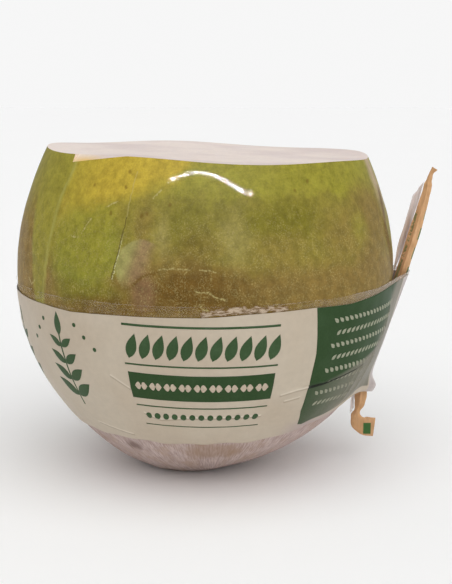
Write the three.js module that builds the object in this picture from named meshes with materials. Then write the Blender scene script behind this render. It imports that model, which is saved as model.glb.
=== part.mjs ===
// A green drinking coconut. The fruit is one solid, sliced level at the top and pared to a small
// flat spot below. A printed film band is shrunk round its lower half, and holds a straw in its
// paper sleeve, and a strip of white film, against the fruit's +X side.
// Millimetres, +Z up. The origin is on the resting plane under the fruit's axis.
import * as THREE from 'three';

// ---- Fruit ---------------------------------------------------------------------------------
const WIDEST_RADIUS = 72.2;
const WIDEST_HEIGHT = 74.4;
const SHOULDER_REACH = 121;        // height over which the upper parabola would close on the axis
const BELLY_REACH = 77.6;          // depth over which the lower curve would close on the axis
const BELLY_BULGE = 2.04;
const BELLY_ROUNDNESS = 1.69;
const BASE_LEAN = -10;             // the pared base sits to -X of the fruit's axis
const BASE_LEAN_SHARPNESS = 5.76;
const LOBE = 0.01;                 // three soft lobes, as the husk has three sides
const CUT_HEIGHT = 122.2;
const CUT_SLOPE = -0.036;          // the slice falls about 2 degrees towards +X
const CUT_WAVE = 0.5;
const CUT_WAVE_COUNT = 5;
const CUT_WAVE_ANGLE = degrees(-76);
const CHIP_START = degrees(-139);  // a shallow chip in the rim, deepest at its sharp start
const CHIP_END = degrees(-116);
const CHIP_DEPTH = 2.7;
const PARING_HEIGHT = 24;          // knife strokes round the base, fading out at this height
const PARING_COUNT = 13;
const PARING_DEPTH = 0.5;

// The side that the straw lies against is slightly hollow.
const HOLLOW = { height: 50, halfHeight: 20, halfAngle: degrees(13), depth: 4.6 };

const SECTORS = 84;
const SKIN_ROWS = 22;
const SKIN_CROWDING = 1.3;         // rows lie closer together near the base
const REST_ROWS = [0, 1];          // share of the flat spot's radius
const CUT_ROWS = [0.95, 0.7, 0.4, 0];

// ---- Straw and its paper sleeve ------------------------------------------------------------
const PACKET_Y = 1;
const PACKET_FOOT = { x: 57.8, z: 26 };
const PACKET_HEAD = { x: 84.5, z: 107 };
const PACKET_BOW = 1.6;            // the fruit's girth bends the packet outwards by this much
const PACKET_HANG_X = 60.4;        // below the film the packet hangs straight down from here
const PACKET_HANG_BEND = 2;        // how softly it turns there
const STRAW_RADIUS = 1.75;
const STRAW_WALL = 0.45;
const STRAW_FOOT_HEIGHT = 34;
const STRAW_HEAD_HEIGHT = 91;
const STRAW_BEVEL = 4.5;           // the foot is cut to a point, this far up on one side
const STRAW_STEPS = 10;
const STRAW_SECTORS = 16;
const SLEEVE_WALL = 0.3;
const SLEEVE_RADIUS = STRAW_RADIUS + 0.2 + SLEEVE_WALL;
const SLEEVE_SECTORS = 16;
const SLEEVE_CAVITY_TOP = 0.9;     // share of the sleeve's length that is hollow, from its open tail
const SLEEVE_CAVITY_CAP = 0.005;   // share of the hollow taken by its pointed end

// ---- White film strip ----------------------------------------------------------------------
const STRIP_THICKNESS = 0.6;
const STRIP_WIDTH = 8;
const STRIP_FOOT = 19.6;
const STRIP_HEAD = 107.5;
const STRIP_HEAD_SLANT = 0.6;
const STRIP_HEAD_TWIST = { angle: degrees(30), from: 66, to: 90 };
const STRIP_FOOT_TWIST = { angle: degrees(15), from: 34, to: 24 };
const STRIP_STEPS = 30;

// ---- Film band -----------------------------------------------------------------------------
const FILM_THICKNESS = 0.5;
const FILM_GAP = 0.35;             // clearance between the film and what it wraps
const BAND_TOP = 75.6;
const BAND_TOP_RISE = 0.5;         // the top edge is this much higher on the +X side
const BAND_FOOT = 21.6;
const BAND_FOOT_LIFT = 9;          // the foot rides up beside the straw
const BAND_FOOT_LIFT_ANGLE = degrees(-20);
const BAND_FOOT_LIFT_WIDTH = degrees(22);
const BAND_ROWS = 9;
const PACKET_ANGLE = Math.atan2(PACKET_Y, WIDEST_RADIUS);
const POCKET_HALF_ANGLE = degrees(2);

const colours = {
  skin: 0x8f9438,
  film: 0xcfc5ae,
  kraft: 0xc79a68,
  straw: 0xe8e4da,
  whiteFilm: 0xd9d3da,
};

function degrees(value) {
  return THREE.MathUtils.degToRad(value);
}

function angleBetween(a, b) {
  return Math.atan2(Math.sin(a - b), Math.cos(a - b));
}

// ---- Shape of the fruit --------------------------------------------------------------------
function meanRadius(z) {
  if (z >= WIDEST_HEIGHT) return WIDEST_RADIUS * (1 - ((z - WIDEST_HEIGHT) / SHOULDER_REACH) ** 2);
  const depth = (WIDEST_HEIGHT - z) / BELLY_REACH;
  return WIDEST_RADIUS * (1 - depth ** BELLY_BULGE) ** (1 / BELLY_ROUNDNESS);
}

function axisX(z) {
  const depth = Math.max(0, WIDEST_HEIGHT - z) / BELLY_REACH;
  return BASE_LEAN * depth ** BASE_LEAN_SHARPNESS;
}

// The smooth outside, before the knife strokes and the hollow under the straw.
function smoothRadius(angle, z) {
  return meanRadius(z) * (1 - LOBE * Math.cos(3 * angle));
}

function skinRadius(angle, z) {
  const across = angleBetween(angle, PACKET_ANGLE) / HOLLOW.halfAngle;
  const along = (z - HOLLOW.height) / HOLLOW.halfHeight;
  const hollow = HOLLOW.depth * Math.exp(-(across ** 4) - along ** 4);
  const pared = Math.max(0, 1 - z / PARING_HEIGHT) * PARING_DEPTH;
  const stroke = pared * (0.5 + 0.5 * Math.cos(PARING_COUNT * angle));
  return smoothRadius(angle, z) - hollow - stroke;
}

function cutHeight(angle, share) {
  const x = share * smoothRadius(angle, CUT_HEIGHT) * Math.cos(angle);
  const wave = CUT_WAVE * share ** 2 * Math.cos(CUT_WAVE_COUNT * (angle - CUT_WAVE_ANGLE));
  return CUT_HEIGHT + CUT_SLOPE * x - wave;
}

function chipDepth(angle) {
  const along = (angle - CHIP_START) / (CHIP_END - CHIP_START);
  return along < 0 || along > 1 ? 0 : CHIP_DEPTH * (1 - along);
}

function rimHeight(angle) {
  return cutHeight(angle, 1) - chipDepth(angle);
}

function skinPoint(angle, z) {
  const radius = skinRadius(angle, z);
  return new THREE.Vector3(axisX(z) + radius * Math.cos(angle), radius * Math.sin(angle), z);
}

// ---- Bodies of revolution, bent to shape ---------------------------------------------------
// place(angle, row) gives the point of profile row `row` at `angle`. The rows run outwards
// underneath and then up the outside, so that the faces point out.
function shapedLathe(rows, sectors, place) {
  const profile = Array.from({ length: rows }, (_, row) => new THREE.Vector2(1, row));
  const geometry = new THREE.LatheGeometry(profile, sectors);
  const position = geometry.attributes.position;
  for (let i = 0; i < position.count; i++) {
    const sector = Math.floor(i / rows) % sectors;
    let angle = ((sector + 0.5) / sectors) * 2 * Math.PI - Math.PI / 2;
    if (angle > Math.PI) angle -= 2 * Math.PI;
    const point = place(angle, i % rows);
    position.setXYZ(i, point.x, point.y, point.z);
  }
  return geometry;
}

function coconut() {
  const lastSkinRow = REST_ROWS.length - 1 + SKIN_ROWS;
  return shapedLathe(lastSkinRow + 1 + CUT_ROWS.length, SECTORS, (angle, row) => {
    if (row < REST_ROWS.length) {
      const edge = skinPoint(angle, 0);
      const centre = new THREE.Vector3(axisX(0), 0, 0);
      return centre.lerp(edge, REST_ROWS[row]);
    }
    if (row <= lastSkinRow) {
      const share = (row - REST_ROWS.length + 1) / SKIN_ROWS;
      return skinPoint(angle, rimHeight(angle) * share ** SKIN_CROWDING);
    }
    const share = CUT_ROWS[row - lastSkinRow - 1];
    const radius = share * skinRadius(angle, rimHeight(angle));
    return new THREE.Vector3(
      radius * Math.cos(angle), radius * Math.sin(angle), cutHeight(angle, share));
  });
}

// ---- Straw and sleeve ----------------------------------------------------------------------
function packetX(z) {
  const share = (z - PACKET_FOOT.z) / (PACKET_HEAD.z - PACKET_FOOT.z);
  const straight = THREE.MathUtils.lerp(PACKET_FOOT.x, PACKET_HEAD.x, share);
  const leaning = straight + PACKET_BOW * 4 * share * (1 - share);
  return (leaning + PACKET_HANG_X + Math.hypot(leaning - PACKET_HANG_X, PACKET_HANG_BEND)) / 2;
}

const packetDirection = new THREE.Vector3(
  PACKET_HEAD.x - PACKET_FOOT.x, 0, PACKET_HEAD.z - PACKET_FOOT.z).normalize();

function straw() {
  const steps = Array.from({ length: STRAW_STEPS + 1 }, (_, step) => step / STRAW_STEPS);
  const outside = steps.map((along) => ({ radius: STRAW_RADIUS, along }));
  const inside = steps.map((along) => ({ radius: STRAW_RADIUS - STRAW_WALL, along: 1 - along }));
  const walls = [...outside, ...inside, outside[0]];
  const across = new THREE.Vector3(0, 1, 0).cross(packetDirection);
  return shapedLathe(walls.length, STRAW_SECTORS, (angle, row) => {
    const { radius, along } = walls[row];
    const bevel = STRAW_BEVEL * (1 - along) * (1 + (radius / STRAW_RADIUS) * Math.cos(angle));
    const z = THREE.MathUtils.lerp(STRAW_FOOT_HEIGHT, STRAW_HEAD_HEIGHT, along) + bevel;
    return new THREE.Vector3(packetX(z), PACKET_Y + radius * Math.sin(angle), z)
      .addScaledVector(across, radius * Math.cos(angle));
  });
}

function roundStation(z) {
  return { x: packetX(z), z, across: SLEEVE_RADIUS, deep: SLEEVE_RADIUS };
}

// The sleeve's middle line, from the end of its flat tail, round the knee and up to the twisted
// tip, with the half-width across the drawing plane and the half-depth along Y at each point.
const sleeveStations = [
  { x: 66.4, z: 12.5, across: 3.85, deep: 0.5 },
  { x: 63, z: 12.9, across: 3.9, deep: 0.5 },
  { x: 60.3, z: 14.2, across: 3.2, deep: 0.6 },
  { x: 59, z: 17.2, across: 2, deep: 0.8 },
  { x: 59.5, z: 19.4, across: 1.2, deep: 1 },
  { x: 60.4, z: 22.4, across: 2.1, deep: 1.6 },
  { x: packetX(25.5), z: 25.5, across: 2.55, deep: 2 },
  ...[30, 37, 45, 54, 64, 74, 84, 92].map(roundStation),
  { x: packetX(100), z: 100, across: 1.95, deep: 2 },
  { x: packetX(106.5), z: 106.5, across: 1.6, deep: 1.8 },
  { x: 84.9, z: 108.9, across: 1.5, deep: 1.4 },
  { x: 85.5, z: 111.2, across: 0.95, deep: 0.9 },
  { x: 86.1, z: 113.6, across: 0.7, deep: 0.7 },
  { x: 87.3, z: 115.6, across: 0.9, deep: 1 },
];
const SLEEVE_ROWS_PER_STATION = 2;

const sleeveLine = new THREE.CatmullRomCurve3(
  sleeveStations.map(({ x, z }) => new THREE.Vector3(x, PACKET_Y, z)), false, 'centripetal');

function sleeveHalfSizes(share) {
  const at = share * (sleeveStations.length - 1);
  const low = Math.min(Math.floor(at), sleeveStations.length - 2);
  const [below, above] = [sleeveStations[low], sleeveStations[low + 1]];
  const blend = THREE.MathUtils.smoothstep(at - low, 0, 1);
  return [
    THREE.MathUtils.lerp(below.across, above.across, blend),
    THREE.MathUtils.lerp(below.deep, above.deep, blend),
  ];
}

// A point on the sleeve, `inwards` from its outside, with `share` from 0 at the tail to 1 at the tip.
function sleevePoint(angle, share, inwards) {
  const [across, deep] = sleeveHalfSizes(share);
  const middle = sleeveLine.getPoint(share);
  const side = new THREE.Vector3(0, 1, 0).cross(sleeveLine.getTangent(share)).normalize();
  middle.addScaledVector(side, (across - inwards) * Math.cos(angle));
  middle.y += (deep - inwards) * Math.sin(angle);
  return middle;
}

function strawSleeve() {
  const outerRows = (sleeveStations.length - 1) * SLEEVE_ROWS_PER_STATION + 1;
  const innerRows = outerRows - SLEEVE_ROWS_PER_STATION;
  return shapedLathe(innerRows + outerRows + 2, SLEEVE_SECTORS, (angle, row) => {
    if (row === 0) return sleeveLine.getPoint(SLEEVE_CAVITY_TOP);
    if (row <= innerRows) {
      const open = (1 - SLEEVE_CAVITY_CAP) * (1 - (row - 1) / (innerRows - 1));
      return sleevePoint(angle, SLEEVE_CAVITY_TOP * open, SLEEVE_WALL);
    }
    if (row <= innerRows + outerRows) {
      return sleevePoint(angle, (row - innerRows - 1) / (outerRows - 1), 0);
    }
    return sleeveLine.getPoint(1);
  });
}

// ---- White film strip ----------------------------------------------------------------------
// The strip lies flat behind the sleeve, and turns its front edge outwards near both ends.
function stripTwist(z) {
  const turned = ({ angle, from, to }) =>
    angle * THREE.MathUtils.smoothstep((z - from) / (to - from), 0, 1);
  return turned(STRIP_HEAD_TWIST) + turned(STRIP_FOOT_TWIST);
}

function filmStrip() {
  const length = STRIP_HEAD - STRIP_FOOT;
  const geometry = new THREE.BoxGeometry(STRIP_THICKNESS, STRIP_WIDTH, length, 1, 2, STRIP_STEPS);
  const position = geometry.attributes.position;
  for (let i = 0; i < position.count; i++) {
    const offset = position.getX(i);
    const along = position.getZ(i) / length + 0.5;
    const y = position.getY(i);
    const z = STRIP_FOOT + along * (length + STRIP_HEAD_SLANT * y);
    const twist = stripTwist(z);
    const clearance = SLEEVE_RADIUS + FILM_GAP + STRIP_THICKNESS / 2;
    const middle = packetX(z) - clearance / (Math.cos(twist) * packetDirection.z);
    position.setXYZ(
      i,
      middle + y * Math.sin(twist) + offset * Math.cos(twist),
      PACKET_Y + y * Math.cos(twist) - offset * Math.sin(twist),
      z);
  }
  return geometry;
}

// ---- Film band -----------------------------------------------------------------------------
// The film follows the fruit, and is stretched out over the straw in straight tangent spans.
function bandRadius(angle, z) {
  const fruit = smoothRadius(angle, z);
  const outside = packetX(z) + (SLEEVE_RADIUS + FILM_GAP) / packetDirection.z;
  const lift = outside - axisX(z) - smoothRadius(PACKET_ANGLE, z);
  const span = Math.sqrt((2 * lift) / fruit);
  const beside = Math.max(0, Math.abs(angleBetween(angle, PACKET_ANGLE)) - POCKET_HALF_ANGLE);
  return fruit + Math.max(FILM_GAP, lift * Math.max(0, 1 - beside / span) ** 2);
}

function bandEdges(angle) {
  const fromLift = angleBetween(angle, BAND_FOOT_LIFT_ANGLE) / BAND_FOOT_LIFT_WIDTH;
  return {
    foot: BAND_FOOT + BAND_FOOT_LIFT * Math.exp(-(fromLift ** 2) / 2),
    top: BAND_TOP + BAND_TOP_RISE * Math.cos(angle),
  };
}

function labelBand() {
  return shapedLathe(2 * BAND_ROWS + 1, SECTORS, (angle, row) => {
    const outside = row >= 1 && row <= BAND_ROWS;
    const step = outside ? row - 1 : (2 * BAND_ROWS - row) % (2 * BAND_ROWS);
    const { foot, top } = bandEdges(angle);
    const z = THREE.MathUtils.lerp(foot, top, step / (BAND_ROWS - 1));
    const radius = bandRadius(angle, z) + (outside ? FILM_THICKNESS : 0);
    return new THREE.Vector3(axisX(z) + radius * Math.cos(angle), radius * Math.sin(angle), z);
  });
}

// ---- Assembly ------------------------------------------------------------------------------
function part(name, geometry, color, roughness) {
  const mesh = new THREE.Mesh(
    geometry, new THREE.MeshStandardMaterial({ color, roughness, metalness: 0 }));
  mesh.name = name;
  return mesh;
}

const model = new THREE.Group();
model.add(part('coconut', coconut(), colours.skin, 0.35));
model.add(part('label_band', labelBand(), colours.film, 0.4));
model.add(part('straw_sleeve', strawSleeve(), colours.kraft, 0.85));
model.add(part('straw', straw(), colours.straw, 0.6));
model.add(part('film_strip', filmStrip(), colours.whiteFilm, 0.3));

export default model;
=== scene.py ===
"""A green drinking coconut in a printed film band, with a straw in its paper sleeve.

Lengths are millimetres and angles are degrees round the fruit from +X, unless a name says
otherwise. The camera stands on the -Y side, at -90 degrees. Meshes are handed to Blender in metres.
"""
import math
from functools import cached_property

import bmesh
import bpy
import numpy as np
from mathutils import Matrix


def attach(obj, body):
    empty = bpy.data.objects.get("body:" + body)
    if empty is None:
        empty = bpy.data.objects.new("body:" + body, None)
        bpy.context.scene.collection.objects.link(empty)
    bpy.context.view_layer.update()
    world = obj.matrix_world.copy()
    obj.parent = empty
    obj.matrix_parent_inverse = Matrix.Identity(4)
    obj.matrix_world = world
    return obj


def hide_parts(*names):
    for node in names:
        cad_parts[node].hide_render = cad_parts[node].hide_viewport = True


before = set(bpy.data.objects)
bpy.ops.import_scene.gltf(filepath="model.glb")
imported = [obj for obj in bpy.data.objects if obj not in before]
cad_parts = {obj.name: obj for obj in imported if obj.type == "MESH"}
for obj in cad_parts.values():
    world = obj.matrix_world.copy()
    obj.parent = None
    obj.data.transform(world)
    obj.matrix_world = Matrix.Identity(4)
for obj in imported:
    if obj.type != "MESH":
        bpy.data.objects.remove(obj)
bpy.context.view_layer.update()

MM = 0.001
FRONT = -90.0                          # the angle that faces the camera

# ---- Fruit, as in the CAD model ----
WIDEST_RADIUS = 72.2
MM_PER_DEGREE = math.radians(WIDEST_RADIUS)        # round the widest girth
DEGREES_PER_MM = 1 / MM_PER_DEGREE
WIDEST_HEIGHT = 74.4
SHOULDER_REACH = 121.0
BELLY_REACH = 77.6
BELLY_BULGE = 2.04
BELLY_ROUNDNESS = 1.69
BASE_LEAN = -10.0
BASE_LEAN_SHARPNESS = 5.76
LOBE = 0.01
CUT_HEIGHT = 122.2
CUT_SLOPE = -0.036
CUT_WAVE = 0.5
CUT_WAVE_COUNT = 5
CUT_WAVE_ANGLE = -76.0
CHIP_START = -139.0
CHIP_END = -116.0
CHIP_DEPTH = 2.7
PARING_HEIGHT = 24.0
PARING_COUNT = 13
PARING_DEPTH = 0.5
HOLLOW_HEIGHT = 50.0
HOLLOW_HALF_HEIGHT = 20.0
HOLLOW_HALF_ANGLE = 13.0
HOLLOW_DEPTH = 4.6

# ---- Straw packet, as in the CAD model ----
PACKET_Y = 1.0
PACKET_FOOT = (57.8, 26.0)             # x, z
PACKET_HEAD = (84.5, 107.0)
PACKET_BOW = 1.6
PACKET_HANG_X = 60.4
PACKET_HANG_BEND = 2.0
SLEEVE_RADIUS = 2.25
STRIP_THICKNESS = 0.6
STRIP_WIDTH = 8.0
STRIP_FOOT = 19.6
STRIP_HEAD = 107.5
STRIP_HEAD_SLANT = 0.6
STRIP_HEAD_TWIST = (30.0, 66.0, 90.0)  # angle, from height, to height
STRIP_FOOT_TWIST = (15.0, 34.0, 24.0)

# ---- Film band, as in the CAD model ----
FILM_GAP = 0.35
BAND_TOP = 75.6
BAND_TOP_RISE = 0.5
BAND_FOOT = 21.6
BAND_FOOT_LIFT = 9.0
BAND_FOOT_LIFT_ANGLE = -20.0
BAND_FOOT_LIFT_WIDTH = 22.0
POCKET_HALF_ANGLE = 2.0
PACKET_ANGLE = math.degrees(math.atan2(PACKET_Y, WIDEST_RADIUS))

# ---- Visible detail ----
RIM_LIP = 1.5                          # the cut's edge turns up a little beside the straw
SWELLING = 0.22
HIGHLIGHT_HEIGHT = 114.0
HIGHLIGHT_ARCHES = [(0.014, -93, 5), (-0.046, -77.5, 6)]       # slope, angle, half-width
SAW_DEPTH = 0.06                       # the saw's marks on the cut face
HUSK_TOP = 31.0                        # the skin is pared away below this height
SKIN_THICKNESS = 0.28
CREASE = [(-136.6, 122), (-137.5, 115.6), (-139.5, 108.6), (-140.8, 94), (-142.1, 77.7), (-142.5, 70)]
CRACK_TOP = [(-111.2, 118.8), (-111.9, 112.6), (-112.7, 104)]
CRACK = [(-112.7, 104), (-113.7, 96.7), (-115.0, 89.6), (-116.1, 83.5)]
SCAR = [(-90, 73.0), (-84, 73.7), (-73, 74.1), (-68.5, 73.9)]
# Above this line the film is clear.
PRINT_TOP = [(-180, 71.5), (-141, 71.2), (-130, 70.6), (-117, 71.2), (-90, 71.8), (-78, 72.8),
             (-60, 73.4), (-46, 72.9), (-27, 74.2), (0, 74.6), (40, 73), (180, 71.5)]
COAT_PORES = 0.009                     # depth of the pores that break up the highlight


# ---- Small sums ----
def turn(first, second):
    """The angle from second to first, between -180 and 180."""
    return (np.asarray(first) - second + 180) % 360 - 180


def smoothstep(low, high, value):
    share = np.clip((np.asarray(value, float) - low) / (high - low), 0, 1)
    return share * share * (3 - 2 * share)


def unroll(angle):
    """Distance round the widest girth from the front, in mm, for an angle."""
    return float(turn(angle, FRONT)) * MM_PER_DEGREE


def course(start, end):
    """A line between two (angle, height) points on the unrolled skin: start, direction, length."""
    across, up = unroll(end[0]) - unroll(start[0]), end[1] - start[1]
    length = math.hypot(across, up)
    return (unroll(start[0]), start[1], 0), (across / length, up / length, 0), length


def follow(line, angle):
    """The height, at an angle, of a line of (angle, height) points."""
    return np.interp(angle, *np.array(line).T)


def bump(value, centre, half_width):
    return np.exp(-((np.asarray(value) - centre) / half_width) ** 2)


def waves(angle, z, seed, angular, vertical, terms=12):
    """A sum of cosines with whole numbers of turns round the fruit, about -1 to 1 in size."""
    draw = np.random.default_rng(seed)
    turns = draw.integers(angular[0], angular[1] + 1, terms)
    climbs = draw.uniform(vertical[0], vertical[1], terms) * draw.choice([-1, 1], terms)
    phases = draw.uniform(0, 2 * math.pi, terms)
    total = np.zeros(np.broadcast(angle, z).shape)
    for count, climb, phase in zip(turns, climbs, phases):
        total += np.cos(count * np.radians(angle) + 2 * math.pi * climb * z + phase)
    return total / math.sqrt(terms)


def distance_to_line(angle, z, line):
    """Distance on the unrolled skin, in mm, from a line of (angle, height) points."""
    nearest = np.full(np.broadcast(angle, z).shape, np.inf)
    for (angle0, z0), (angle1, z1) in zip(line, line[1:]):
        across = turn(angle, angle0) * MM_PER_DEGREE
        along = z - z0
        step_across = (angle1 - angle0) * MM_PER_DEGREE
        step_along = z1 - z0
        share = (across * step_across + along * step_along) / (step_across ** 2 + step_along ** 2)
        share = np.clip(share, 0, 1)
        gap = np.hypot(across - share * step_across, along - share * step_along)
        nearest = np.minimum(nearest, gap)
    return nearest


# ---- Shape of the fruit ----
def mean_radius(z):
    z = np.asarray(z, float)
    above = WIDEST_RADIUS * (1 - ((z - WIDEST_HEIGHT) / SHOULDER_REACH) ** 2)
    depth = np.clip((WIDEST_HEIGHT - z) / BELLY_REACH, 0, 1)
    below = WIDEST_RADIUS * (1 - depth ** BELLY_BULGE) ** (1 / BELLY_ROUNDNESS)
    return np.where(z >= WIDEST_HEIGHT, above, below)


def axis_x(z):
    depth = np.maximum(0, WIDEST_HEIGHT - np.asarray(z, float)) / BELLY_REACH
    return BASE_LEAN * depth ** BASE_LEAN_SHARPNESS


def smooth_radius(angle, z):
    return mean_radius(z) * (1 - LOBE * np.cos(3 * np.radians(angle)))


def undulation(angle, z):
    """Gentle swellings of the husk, and the uneven shoulder that bends the highlight into an S."""
    gentle = SWELLING * waves(angle, z, 7, (2, 9), (0, 0.018)) * (1 - smoothstep(96, 108, z))
    shoulder = smoothstep(98, 110, z) * (z - HIGHLIGHT_HEIGHT)
    arch = sum(slope * bump(angle, *place) for slope, *place in HIGHLIGHT_ARCHES)
    return gentle + shoulder * arch


def skin_radius(angle, z):
    across = turn(angle, PACKET_ANGLE) / HOLLOW_HALF_ANGLE
    along = (z - HOLLOW_HEIGHT) / HOLLOW_HALF_HEIGHT
    hollow = HOLLOW_DEPTH * np.exp(-(across ** 4) - along ** 4)
    pared = np.maximum(0, 1 - z / PARING_HEIGHT) * PARING_DEPTH
    stroke = pared * (0.5 + 0.5 * np.cos(PARING_COUNT * np.radians(angle)))
    return smooth_radius(angle, z) - hollow - stroke


def cut_height(angle, share):
    x = share * smooth_radius(angle, CUT_HEIGHT) * np.cos(np.radians(angle))
    ripple = np.cos(CUT_WAVE_COUNT * np.radians(angle - CUT_WAVE_ANGLE))
    lip = RIM_LIP * bump(angle, 6, 22) * share ** 8
    return CUT_HEIGHT + CUT_SLOPE * x - CUT_WAVE * share ** 2 * ripple + lip


def rim_height(angle):
    along = (np.asarray(angle, float) - CHIP_START) / (CHIP_END - CHIP_START)
    chip = np.where((along < 0) | (along > 1), 0, CHIP_DEPTH * (1 - along))
    return cut_height(angle, 1) - chip


def on_fruit(angle, z, radius):
    angle, z, radius = np.broadcast_arrays(angle, z, radius)
    turned = np.radians(angle)
    return np.stack([axis_x(z) + radius * np.cos(turned), radius * np.sin(turned), z], axis=-1)


def outwards(angles):
    """Directions straight out from the fruit's axis."""
    turned = np.radians(angles)
    return np.stack([np.cos(turned), np.sin(turned), np.zeros(len(angles))], axis=-1)


# ---- Meshes ----
def add_object(name, data):
    added = bpy.data.objects.new(name, data)
    bpy.context.scene.collection.objects.link(added)
    return added


def add_piece(name, points, faces, materials, face_materials=None):
    """A piece from points in millimetres, riding on the fruit's body."""
    mesh = bpy.data.meshes.new(name)
    mesh.from_pydata((np.asarray(points).reshape(-1, 3) * MM).tolist(), [], faces)
    mesh.polygons.foreach_set("use_smooth", [True] * len(mesh.polygons))
    for material in materials:
        mesh.materials.append(material)
    if face_materials is not None:
        mesh.polygons.foreach_set("material_index", face_materials)
    mesh.update()
    piece = add_object(name, mesh)
    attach(piece, "root")
    return piece


def sharpen(piece, degrees):
    """Marks edges bent by more than this as sharp, for the shading."""
    shaped = bmesh.new()
    shaped.from_mesh(piece.data)
    for edge in shaped.edges:
        if len(edge.link_faces) == 2 and edge.calc_face_angle() > math.radians(degrees):
            edge.smooth = False
    shaped.to_mesh(piece.data)
    shaped.free()


def grid_faces(rows, columns, wrap_rows=False):
    """Quads between the points of a grid that runs up by row, and anticlockwise all round by column."""
    row = np.arange(rows if wrap_rows else rows - 1)
    row, column = (block.ravel() for block in np.meshgrid(row, np.arange(columns), indexing="ij"))
    above = (row + 1) % rows
    beside = (column + 1) % columns
    corners = [row * columns + column, row * columns + beside,
               above * columns + beside, above * columns + column]
    return np.stack(corners, axis=-1).tolist()


def capped(rows, first, last):
    """Points and faces of rings of points, closed by fans round a first and a last point."""
    count, columns = rows.shape[:2]
    faces = grid_faces(count, columns)
    turns = [(i, (i + 1) % columns) for i in range(columns)]
    faces += [(count * columns, beside, here) for here, beside in turns]
    top = (count - 1) * columns
    faces += [(top + here, top + beside, count * columns + 1) for here, beside in turns]
    return np.concatenate([rows.reshape(-1, 3), [first, last]]), faces


# ---- Node materials ----
USUAL_LIGHT = 0.92                     # the light on most surfaces, where 1 shows a colour as it is
SKIN_LIGHT = 1.04
PALEST = 0.92                          # the palest that any surface colour may be


def linear(colour):
    """A linear colour from 0-255 screen values."""
    share = np.asarray(colour, float) / 255
    return np.where(share <= 0.04045, share / 12.92, ((share + 0.055) / 1.055) ** 2.4)


def paint(red, green, blue, light=USUAL_LIGHT):
    """The surface colour that shows as these screen values where this much light falls on it."""
    return (*np.clip(linear((red, green, blue)) / light, 0, PALEST).tolist(), 1.0)


def skin_paint(red, green, blue):
    return paint(red, green, blue, SKIN_LIGHT)


def connect(value, target):
    """Links a field to an input socket, or sets the socket to a constant. None leaves it alone."""
    if isinstance(value, Field):
        target.id_data.links.new(value.socket, target)
    elif value is not None:
        target.default_value = value


def new_node(tree, kind, *inputs, **settings):
    made = tree.nodes.new("ShaderNode" + kind)
    for setting, value in settings.items():
        setattr(made, setting, value)
    for value, target in zip(inputs, made.inputs):
        connect(value, target)
    return made


class Field:
    """A number, colour or place that varies over a surface: what one node of its material gives."""

    def __init__(self, socket):
        self.socket = socket

    def node(self, kind, *inputs, output=0, **settings):
        """What a new node beside this field's own gives for these inputs."""
        return Field(new_node(self.socket.id_data, kind, *inputs, **settings).outputs[output])

    def math(self, operation, *others):
        return self.node("Math", self, *others, operation=operation)

    def vector(self, operation, *others):
        output = 1 if operation in ("LENGTH", "DOT_PRODUCT") else 0
        return self.node("VectorMath", self, *others, operation=operation, output=output)

    def combine(self, operation, other):
        return (self.math if self.socket.type == "VALUE" else self.vector)(operation, other)

    def __add__(self, other):
        return self.combine("ADD", other)

    def __sub__(self, other):
        return self.combine("SUBTRACT", other)

    def __rsub__(self, other):
        return self.node("Math", other, self, operation="SUBTRACT")

    def __mul__(self, other):
        """Numbers multiply. A colour or place is scaled by a number, or by a tuple for each part."""
        if self.socket.type == "VALUE" or isinstance(other, tuple):
            return self.combine("MULTIPLY", other)
        return self.vector("SCALE", None, None, other)

    def __truediv__(self, other):
        return self.math("DIVIDE", other)

    def noise(self, size, detail=2.0, roughness=0.5, stretch=(1, 1, 1)):
        """Noise between about 0 and 1, whose blots measure size mm, times stretch on each axis."""
        scaled = self * tuple(1 / (size * part) for part in stretch)
        return self.node("TexNoise", scaled, None, 1.0, detail, roughness)

    def fade(self, low, high, start=0.0, end=1.0):
        """start where the field is low, and end where it is high, with a smooth change between."""
        return self.node("MapRange", self, low, high, start, end, interpolation_type="SMOOTHSTEP")

    def mix(self, first, second):
        """The first colour where the field is 0, and the second where it is 1."""
        unused = [None] * 5            # the node's inputs for mixing numbers and places
        return self.node("Mix", self, *unused, first, second, data_type="RGBA", output=2)

    def patch(self, angle, z, half_angle, half_height, softness=0.3):
        """A soft oval on the unrolled skin."""
        offset = (self - (unroll(angle), z, 0)) * (DEGREES_PER_MM / half_angle, 1 / half_height, 1)
        return offset.vector("LENGTH").fade(1 - softness, 1 + softness, 1.0, 0.0)

    def stroke(self, line, half_width, softness=0.5):
        """A thin line through (angle, height) points on the unrolled skin."""
        gaps = []
        for place, direction, length in map(course, line, line[1:]):
            offset = self - place
            travel = offset.vector("DOT_PRODUCT", direction)
            travel = travel.math("MAXIMUM", 0.0).math("MINIMUM", length)
            foot = self.node("VectorMath", direction, None, None, travel, operation="SCALE")
            gaps.append((offset - foot).vector("LENGTH"))
        nearest = fold("MINIMUM", gaps)
        return nearest.fade(half_width * (1 - softness), half_width * (1 + softness), 1.0, 0.0)

    def beyond(self, start, end, width):
        """Rises from 0 to 1 across the line from start to end, towards the left of that direction."""
        place, (across, up, _), _ = course(start, end)
        return (self - place).vector("DOT_PRODUCT", (-up, across, 0)).fade(-width / 2, width / 2)


def fold(operation, fields):
    """The MAXIMUM or MINIMUM of several fields."""
    total = fields[0]
    for field in fields[1:]:
        total = total.math(operation, field)
    return total


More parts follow.
